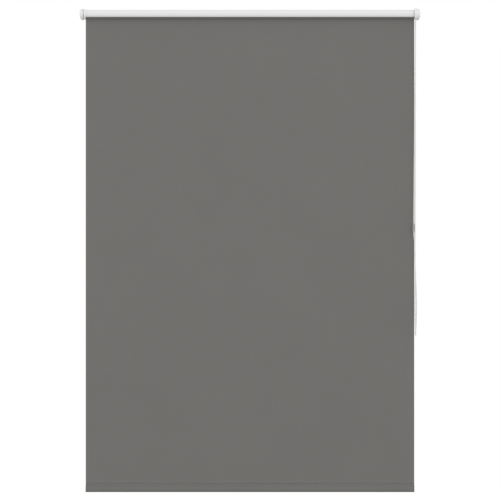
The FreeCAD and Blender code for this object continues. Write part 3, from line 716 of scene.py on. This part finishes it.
def makeChain(bead):
    line = newLine("chainLine", [wheelCentre + Vector(offset) for offset in chain["route"]], "NURBS",
                   resolution_u=chain["lineSmoothness"])
    line.data.splines[0].order_u = 3
    line.data.splines[0].use_endpoint_u = True
    points = pointsOnLine(line)
    length = sum((after - before).length for before, after in zip(points, points[1:]))
    gaps = round(length / chain["pitch"])
    pitch = length / gaps
    places = walk(points, [(i + 0.5) * pitch for i in range(gaps)])
    whole = joinPieces("beadChain", [makeThread(line, "thread"), *stringBeads(bead, places)])
    settle(whole)
    finishPiece(whole, "root", ["bead_chain"], "chain_plastic")
    print("chain made,", gaps, "beads,", round(length, 4), "m")
    return whole, points, length


def makeWheelBeads(bead):  # the beads that lie in the wheel's pockets, and the thread over the wheel
    radius = -chain["route"][0][1]
    pocketTurn = 2 * math.asin(chain["pitch"] / 2 / radius)
    centres = []
    for step in range(chain["wheelBeads"]):
        turn = step * pocketTurn
        centres.append((wheelCentre + Vector((0, -math.cos(turn), math.sin(turn))) * radius,
                        Vector((0, math.sin(turn), math.cos(turn)))))
    ends = chain["route"][0][2]
    arc = [wheelCentre + Vector((0, -radius, ends))]
    for step in range(chain["arcSteps"] + 1):
        turn = step / chain["arcSteps"] * math.pi
        arc.append(wheelCentre + Vector((0, -math.cos(turn), math.sin(turn))) * radius)
    arc.append(wheelCentre + Vector((0, radius, ends)))
    thread = makeThread(newLine("wheelThread", arc), "wheelThread")
    whole = joinPieces("wheelBeads", [thread, *stringBeads(bead, centres)])
    settle(whole)
    finishPiece(whole, "chain_wheel", ["wheel_beads"], "chain_plastic")


# chain connector
connector = {
    "radius": 0.0035,
    "wall": 0.0009,
    "length": 0.024,
    "slotHalfAngle": 35,  # degrees: the slot that a bead is pressed in through
    "slotEnd": 0.0085,  # along the barrel from its middle
    "ringHeight": 0.00025,
    "ringPlaces": [0.0020, 0.0040, 0.0060],
    "ringWidth": 0.0009,
    "plainBand": 0.0004,  # beside the other half, before the slot starts
    "sides": 40,
    "edge": 0.00015,
    "sharpAngle": 40,  # degrees: edges sharper than this are rounded
}


# half a barrel, with a slot, grip rings and a rounded end, modelled upright and then placed
def makeConnectorHalf(name, node, side, joint):
    clearSelection()
    half = connector["length"] / 2
    bpy.ops.mesh.primitive_cylinder_add(vertices=connector["sides"], radius=connector["radius"], depth=half,
                                        end_fill_type="NOTHING", location=(0, 0, half / 2))
    barrel = settle(nameIt(name))
    cuts = [connector["slotEnd"], connector["plainBand"]]
    for ring in connector["ringPlaces"]:
        cuts += [ring, ring + connector["ringWidth"]]
    for height in cuts:
        makeActive(barrel)
        bpy.ops.object.mode_set(mode="EDIT")
        bpy.ops.mesh.select_all(action="SELECT")
        bpy.ops.mesh.bisect(plane_co=(0, 0, height), plane_no=(0, 0, 1))
    bpy.ops.object.mode_set(mode="OBJECT")
    for ring in connector["ringPlaces"]:
        ringTop = ring + connector["ringWidth"]
        pickFaces(barrel, lambda middle: ring < middle.z < ringTop)
        bpy.ops.mesh.extrude_region_shrink_fatten(
            TRANSFORM_OT_shrink_fatten={"value": connector["ringHeight"], "use_even_offset": True})
    slotCosine = math.cos(math.radians(connector["slotHalfAngle"]))
    pickFaces(barrel, lambda middle: connector["plainBand"] < middle.z < connector["slotEnd"]
              and -middle.y > slotCosine * math.hypot(middle.x, middle.y))
    bpy.ops.mesh.delete(type="FACE")
    bpy.ops.object.mode_set(mode="OBJECT")
    outwards(barrel)
    applyModifier(barrel, "SOLIDIFY", thickness=connector["wall"], offset=-1)
    applyModifier(barrel, "BEVEL", width=connector["edge"], segments=2, limit_method="ANGLE",
                  angle_limit=math.radians(connector["sharpAngle"]))
    barrel.matrix_world = joint @ Matrix.Rotation(math.pi if side < 0 else 0, 4, "Y")
    settle(barrel)
    smoothByAngle(barrel)
    finishPiece(barrel, "connector", [node], "connector_plastic", "connector")
    return barrel


def makeConnector():
    low, high = (insertLow + insertHigh) / 2, (socketLow + socketHigh) / 2  # the halves' middles
    travel = Vector(joints["connector_travel"]["axis"]).normalized()
    middle = Vector(((low.x + high.x) / 2, (low.y + high.y) / 2, socketLow.z))
    joint = Matrix.Translation(middle) @ travel.to_track_quat("Z", "Y").to_matrix().to_4x4()
    return [makeConnectorHalf("connectorSocket", "connector_socket", 1, joint),
            makeConnectorHalf("connectorInsert", "connector_insert", -1, joint)]


beadPattern = makeBead()
beadChain, chainPoints, chainLength = makeChain(beadPattern)
makeWheelBeads(beadPattern)
bpy.data.objects.remove(beadPattern)
connectorPieces = makeConnector()
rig.cord(beadChain, exit=chainPoints[0], length=chainLength, diameter=chain["beadDiameter"],
        far_end="object", stiffness="limp", lay="hanging", path=chainPoints, with_pieces=connectorPieces)
print("connector made")

# cloth
cloth = {
    "columns": 130,
    "rows": 150,
    "seamRows": 14,  # close rows just above the weld
    "seamHeight": 0.0075,
    "puff": 0.0005,  # how far the cloth stands out just above the weld
    "ripple": 0.0006,  # how far the hanging cloth wanders from flat
    # waves to a metre across and along, a place in the noise, and the wave's share
    "wander": [(2.6, 1.2, 4.2, 1), (8, 2.0, 1.7, 0.4)],
    "edgeCurl": 0.0010,  # how far its side edges curl towards the room
    "curlWidth": 0.025,
    "foldRadius": 0.0012,  # where it turns down from the tube
    "wrapTurn": 1.1,  # radians of the tube that the taped end and its turn down take up
    "smoothAngle": 50,
    "wrapRows": 18,
    "foldRows": 8,
}
hem = {
    "columns": 170,
    "weldDepth": 0.0024,
    "spreadDepth": 0.0048,  # below the weld, where the two layers part round the bar
    "seamGroove": 0.00014,
    "grooveStep": 0.0004,  # how soon the weld's groove starts and ends
    "grooveLip": 0.00005,
    "pressShadeBelow": 0.0080,  # the painted shade of the weld's groove, partly its pressed coating, reaches this far down
    "edgeShadeHeight": 0.0058,  # and the painted shade of the bottom edge turning under reaches this far up
    "pressShadeFade": 0.001,
    "edgeTimes": 2,  # how many times darker than the weld the bottom edge's painted shade may be
    "pucker": 0.00022,  # small ripples where the cloth is welded
    "puckerLength": 0.011,
    "puckerSeed": (5, 0.3),  # a place in the noise, apart for front and back
    "swell": 0.5,  # slower waves further down, as a share of the puckers
    "swellSeed": 3,
    "swellScale": (6, 30),  # waves to a metre across and down
    "spreadRows": 6,
    "sideRows": 6,
    "bottomRows": 18,
    "bottomDepth": 0.005,  # how high the rounding of the bottom edge reaches
    "bottomPower": 2.4,  # 2 is an ellipse, more is squarer
}
wrapRadius = -wrapLow.z - clothThickness / 2  # to the middle of the cloth on the tube
foldDrop = math.sqrt(wrapRadius ** 2 + 2 * wrapRadius * cloth["foldRadius"])
panelTop = -foldDrop
panelBottom = panelLow.z


def seamPuff(z):  # the weld draws the cloth in, so it stands out in a soft ridge above
    height = (z - hemHigh.z) / cloth["seamHeight"]
    return cloth["puff"] * math.sin(math.pi * height) ** 2 if 0 < height < 1 else 0


def clothDepth(x, z):  # how far the hanging cloth stands from its plane
    hang = min(1, max(0, (panelTop - z) / (panelTop - panelBottom)))
    slack = math.sin(math.pi * hang) ** 2
    wander = sum(share * noise.noise(Vector((x * across, z * along, seed)))
                 for across, along, seed, share in cloth["wander"])
    curl = cloth["edgeCurl"] * math.exp((abs(x) - edgeX) / cloth["curlWidth"])
    return (cloth["ripple"] * wander - curl) * slack - seamPuff(z)


# a sheet of the cloth's width: profile(row) gives its (y, z) and how far along the cloth it is
def shapeSheet(name, rows, columns, profile):
    clearSelection()
    bpy.ops.mesh.primitive_grid_add(x_subdivisions=columns, y_subdivisions=rows, size=2)
    sheet = nameIt(name)
    layer = sheet.data.uv_layers.active
    places = [profile(row) for row in range(rows + 1)]
    across = []
    along = []
    for vertex in sheet.data.vertices:
        row = round((vertex.co.y + 1) / 2 * rows)
        y, z, way = places[row]
        across.append(vertex.co.x * edgeX)
        along.append(way)
        vertex.co = (vertex.co.x * edgeX, y, z)
    for loop in sheet.data.loops:
        layer.data[loop.index].uv = (across[loop.vertex_index], along[loop.vertex_index])
    return sheet


def thicken(sheet):
    applyModifier(sheet, "SOLIDIFY", thickness=clothThickness, offset=0)
    smoothByAngle(sheet, cloth["smoothAngle"])
    return sheet


def makePanel():
    height = panelTop - panelBottom
    closeRows = cloth["seamRows"]

    def profile(row):
        share = max(0, row - closeRows) / cloth["rows"]
        z = panelBottom + cloth["seamHeight"] * min(1, row / closeRows)
        z += (height - cloth["seamHeight"]) * share
        return axisY, z, z

    panel = shapeSheet("clothPanel", cloth["rows"] + closeRows, cloth["columns"], profile)
    for vertex in panel.data.vertices:
        vertex.co.y += clothDepth(vertex.co.x, vertex.co.z)
    thicken(panel)
    finishPiece(panel, "root", ["fabric_panel"], "cloth", "cloth")
    lift = joints["bar_lift"]["range_m"][1]
    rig.squash(panel, "bar_lift", axis=(0, 0, 1), anchor=(0, axisY, panelTop), keep=1 - lift / height)
    return panel


# the cloth's end, taped round the underside of the tube, and its turn down to the hanging part
def makeWrap():
    start = math.asin(-wrapHigh.z / (wrapRadius - clothThickness / 2))  # the taped edge, from level
    leave = math.atan2(foldDrop, cloth["foldRadius"])  # where the cloth leaves the tube
    foldCentre = (axisY - cloth["foldRadius"], -foldDrop)
    wrapRows, foldRows = cloth["wrapRows"], cloth["foldRows"]

    def profile(row):
        if row >= foldRows:
            turn = leave + (start - leave) * (row - foldRows) / wrapRows
            return (axisY - wrapRadius * math.cos(turn), -wrapRadius * math.sin(turn),
                    panelTop + cloth["foldRadius"] * leave + wrapRadius * (leave - turn))
        turn = leave * row / foldRows
        return (foldCentre[0] + cloth["foldRadius"] * math.cos(turn),
                foldCentre[1] + cloth["foldRadius"] * math.sin(turn), panelTop + cloth["foldRadius"] * turn)

    wrap = shapeSheet("clothWrap", wrapRows + foldRows, cloth["columns"], profile)
    thicken(wrap)
    finishPiece(wrap, "roller", ["fabric_wrap"], "cloth", "cloth")
    return wrap


# half the pocket's depth and the height of each point round it, from the front of the weld
# down, under the bottom edge and up the back
def hemSection():
    outer = (hemHigh.y - hemLow.y) / 2 - clothThickness / 2
    weldHalf = clothThickness / 2
    grooveHalf = weldHalf - hem["seamGroove"]
    weldEnd = hemHigh.z - hem["weldDepth"]
    sideTop = weldEnd - hem["spreadDepth"]
    depth = hem["bottomDepth"] - clothThickness / 2
    roundTop = hemLow.z + hem["bottomDepth"]
    front = [(weldHalf, hemHigh.z), (weldHalf, hemHigh.z - hem["grooveStep"]),
             (grooveHalf, hemHigh.z - 2 * hem["grooveStep"]), (grooveHalf, weldEnd + hem["grooveStep"]),
             (weldHalf + hem["grooveLip"], weldEnd)]
    for step in range(1, hem["spreadRows"]):
        share = step / hem["spreadRows"]
        front.append((weldHalf + (outer - weldHalf) * (3 * share ** 2 - 2 * share ** 3),
                      weldEnd - hem["spreadDepth"] * share))
    for step in range(hem["sideRows"]):
        front.append((outer, sideTop + (roundTop - sideTop) * step / hem["sideRows"]))
    bottom = []
    power = 2 / hem["bottomPower"]
    for step in range(hem["bottomRows"] + 1):
        turn = math.pi * step / hem["bottomRows"]
        bottom.append((outer * math.copysign(abs(math.cos(turn)) ** power, math.cos(turn)),
                       roundTop - depth * abs(math.sin(turn)) ** power))
    return front + bottom + [(-half, z) for half, z in reversed(front)]


def puckerHem(pocket):  # the layers stand out a little, unevenly, below the weld
    weldEnd = hemHigh.z - hem["weldDepth"]
    puckerPlace, puckerHeight = hem["puckerSeed"]
    swellAcross, swellDown = hem["swellScale"]
    for vertex in pocket.data.vertices:
        x, y, z = vertex.co
        below = max(0, (weldEnd - z) / hem["spreadDepth"])
        side = 1 if y > axisY else -1
        ripple = noise.noise(Vector((x / hem["puckerLength"], side * puckerPlace, puckerHeight)))
        slow = noise.noise(Vector((x * swellAcross, side * hem["swellSeed"], z * swellDown)))
        swell = max(0, ripple) * math.exp(1 - below) + hem["swell"] * max(0, slow)
        vertex.co.y += side * hem["pucker"] * swell * min(1, below)


def markPressAndShade(pocket):  # the cloth's material is painted darker where this attribute is set: painted shade of the weld's groove, partly its pressed coating, and painted shade along the bottom edge
    layer = pocket.data.attributes.new("pressAndShade", "FLOAT", "POINT")
    for vertex in pocket.data.vertices:
        fromTop, fromBottom = hemHigh.z - vertex.co.z, vertex.co.z - hemLow.z
        atWeld = min(fromTop / hem["grooveStep"], (hem["pressShadeBelow"] - fromTop) / hem["pressShadeFade"])
        atEdge = (hem["edgeShadeHeight"] - fromBottom) / hem["pressShadeFade"]
        layer.data[vertex.index].value = max(0, min(1, atWeld), min(hem["edgeTimes"], atEdge))


def makeHem():  # the pocket for the bar: the cloth folded back on itself and welded along the top
    section = hemSection()
    ways = [panelBottom]  # how far along the cloth each point is
    for (half, z), (nextHalf, nextZ) in zip(section, section[1:]):
        ways.append(ways[-1] - math.hypot(nextHalf - half, nextZ - z))
    count = len(section) - 1

    def profile(row):
        half, z = section[count - row]
        return axisY - half, z, ways[count - row]

    pocket = shapeSheet("hemPocket", count, hem["columns"], profile)
    puckerHem(pocket)
    markPressAndShade(pocket)
    thicken(pocket)
    finishPiece(pocket, "bottom_bar", ["hem"], "cloth", "cloth")
    return pocket


clothPanel = makePanel()
clothWrap = makeWrap()
hemPocket = makeHem()
hemDepth = hemHigh.z - hemLow.z
clothLength = (panelTop - panelBottom) + 2 * hemDepth + wrapRadius * cloth["wrapTurn"]
print("cloth made,", round(2 * edgeX, 3), "by", round(clothLength, 3), "m flat")

# roller tube
tube = {
    "wall": 0.001,
    "sides": 96,
    "edge": 0.00015,
    "sharpAngle": 60,  # degrees: edges sharper than this are rounded
    "lengths": 12,  # short lengths that the tube's faces are cut into
}


def makeTube():
    clearSelection()
    tubeLength = tubeHigh.x - tubeLow.x
    bpy.ops.mesh.primitive_cylinder_add(vertices=tube["sides"], radius=tubeRadius, depth=tubeLength,
                                        end_fill_type="NOTHING", location=(0, axisY, 0),
                                        rotation=(0, math.pi / 2, 0))
    roller = settle(nameIt("rollerTube"))
    makeActive(roller)
    bpy.ops.object.mode_set(mode="EDIT")
    for step in range(1, tube["lengths"]):
        cut = tubeLow.x + tubeLength * step / tube["lengths"]
        bpy.ops.mesh.select_all(action="SELECT")
        bpy.ops.mesh.bisect(plane_co=(cut, 0, 0), plane_no=(1, 0, 0))
    bpy.ops.object.mode_set(mode="OBJECT")
    outwards(roller)
    applyModifier(roller, "SOLIDIFY", thickness=tube["wall"], offset=-1)
    applyModifier(roller, "BEVEL", width=tube["edge"], segments=2, limit_method="ANGLE",
                  angle_limit=math.radians(tube["sharpAngle"]))
    smoothByAngle(roller)
    return finishPiece(roller, "roller", ["roller_tube"], "white_tube", "whiteTube")


rollerTube = makeTube()
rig.sheet(clothPanel, flat=(2 * edgeX, clothLength), held="hung", rests_on=[rollerTube],
         with_pieces=[clothWrap, hemPocket])
print("tube made")

# idle pin's spring
pinSpring = {
    "wire": 0.0008,
    "turns": 8,
    "closedTurns": 1,  # at each end
    "stepsPerTurn": 24,
    "wireSmoothness": 2,
}


# a coil with its end turns closed up, lying between the pin's collar and the plug's cap
def makePinSpring():
    length = springHigh.x - springLow.x - pinSpring["wire"]
    radius = (springHigh.z - springLow.z) / 2 - pinSpring["wire"] / 2
    closed, turns = pinSpring["closedTurns"], pinSpring["turns"]
    openRise = (length - 2 * closed * pinSpring["wire"]) / turns
    points = []
    for step in range((turns + 2 * closed) * pinSpring["stepsPerTurn"] + 1):
        turn = step / pinSpring["stepsPerTurn"]
        rise = (min(turn, closed) + max(0, turn - closed - turns)) * pinSpring["wire"]
        rise += min(max(turn - closed, 0), turns) * openRise
        angle = 2 * math.pi * turn
        points.append(Vector((springLow.x + pinSpring["wire"] / 2 + rise,
                              axisY + radius * math.cos(angle), radius * math.sin(angle))))
    line = newLine("pinSpring", points, bevel_depth=pinSpring["wire"] / 2,
                   bevel_resolution=pinSpring["wireSmoothness"], use_fill_caps=True)
    coil = lineToMesh(line, "pinSpring")
    bpy.ops.object.shade_smooth()
    finishPiece(coil, "roller", ["idle_pin_spring"], "spring_steel", "springSteel")
    press = joints["idle_pin_press"]["range_m"][1]
    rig.squash(coil, "idle_pin_press", axis=(1, 0, 0), anchor=(springHigh.x, axisY, 0),
              keep=1 - press / (springHigh.x - springLow.x))


makePinSpring()
print("spring made")

# studio
studio = {
    "floorDrop": 2.2,  # below the hem
    "floorSize": 9,
    "floorColour": (0.50, 0.50, 0.495),
    "floorRoughness": 0.6,
    "base": 0.45,  # the light from straight in front and level is base + front
    "up": 0.32,
    "front": 0.38,
    "side": 0.50,
}


def makeFloor():
    clearSelection()
    bpy.ops.mesh.primitive_plane_add(size=studio["floorSize"], location=(0, 0, hemLow.z - studio["floorDrop"]))
    floor = nameIt("floor")
    makePlastic("floor", studio["floorColour"], studio["floorRoughness"])
    floor.data.materials.append(materials["floor"])
    floor.visible_camera = False  # the background stays plain from every side
    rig.stage(floor)


def makeSky():  # even light, stronger from the room, from above and from both sides; seen as plain white
    world = bpy.data.worlds.new("studio")
    bpy.context.scene.world = world
    world.use_nodes = True
    nodeList, links = world.node_tree.nodes, world.node_tree.links
    nodeList.clear()
    direction = nodeList.new("ShaderNodeTexCoord").outputs["Generated"]
    toward = nodeList.new("ShaderNodeVectorMath")
    toward.operation = "DOT_PRODUCT"
    toward.inputs[1].default_value = (0, -studio["front"], studio["up"])
    links.new(direction, toward.inputs[0])
    soft = nodeList.new("ShaderNodeBackground")
    axes = nodeList.new("ShaderNodeSeparateXYZ")
    links.new(direction, axes.inputs[0])
    sideways = calculate(nodeList, links, "ABSOLUTE", axes.outputs[0], 0)
    sideways = calculate(nodeList, links, "MULTIPLY", sideways, studio["side"])
    strength = calculate(nodeList, links, "ADD", toward.outputs["Value"], sideways)
    strength = calculate(nodeList, links, "ADD", strength, studio["base"])
    links.new(strength, soft.inputs["Strength"])
    soft.inputs["Color"].default_value = (1, 1, 1, 1)
    seen = nodeList.new("ShaderNodeBackground")
    seen.inputs["Color"].default_value = (1, 1, 1, 1)
    path = nodeList.new("ShaderNodeLightPath")
    mix = nodeList.new("ShaderNodeMixShader")
    links.new(path.outputs["Is Camera Ray"], mix.inputs[0])
    links.new(soft.outputs[0], mix.inputs[1])
    links.new(seen.outputs[0], mix.inputs[2])
    output = nodeList.new("ShaderNodeOutputWorld")
    links.new(mix.outputs[0], output.inputs["Surface"])
    bpy.context.scene.view_settings.view_transform = "Standard"


makeFloor()
makeSky()
print("studio made")

with open("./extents.json", "w") as sizeFile:
    json.dump({"cad": [list(corner) for corner in cadBounds],
               "visual": [list(corner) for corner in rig.bounds()]}, sizeFile)
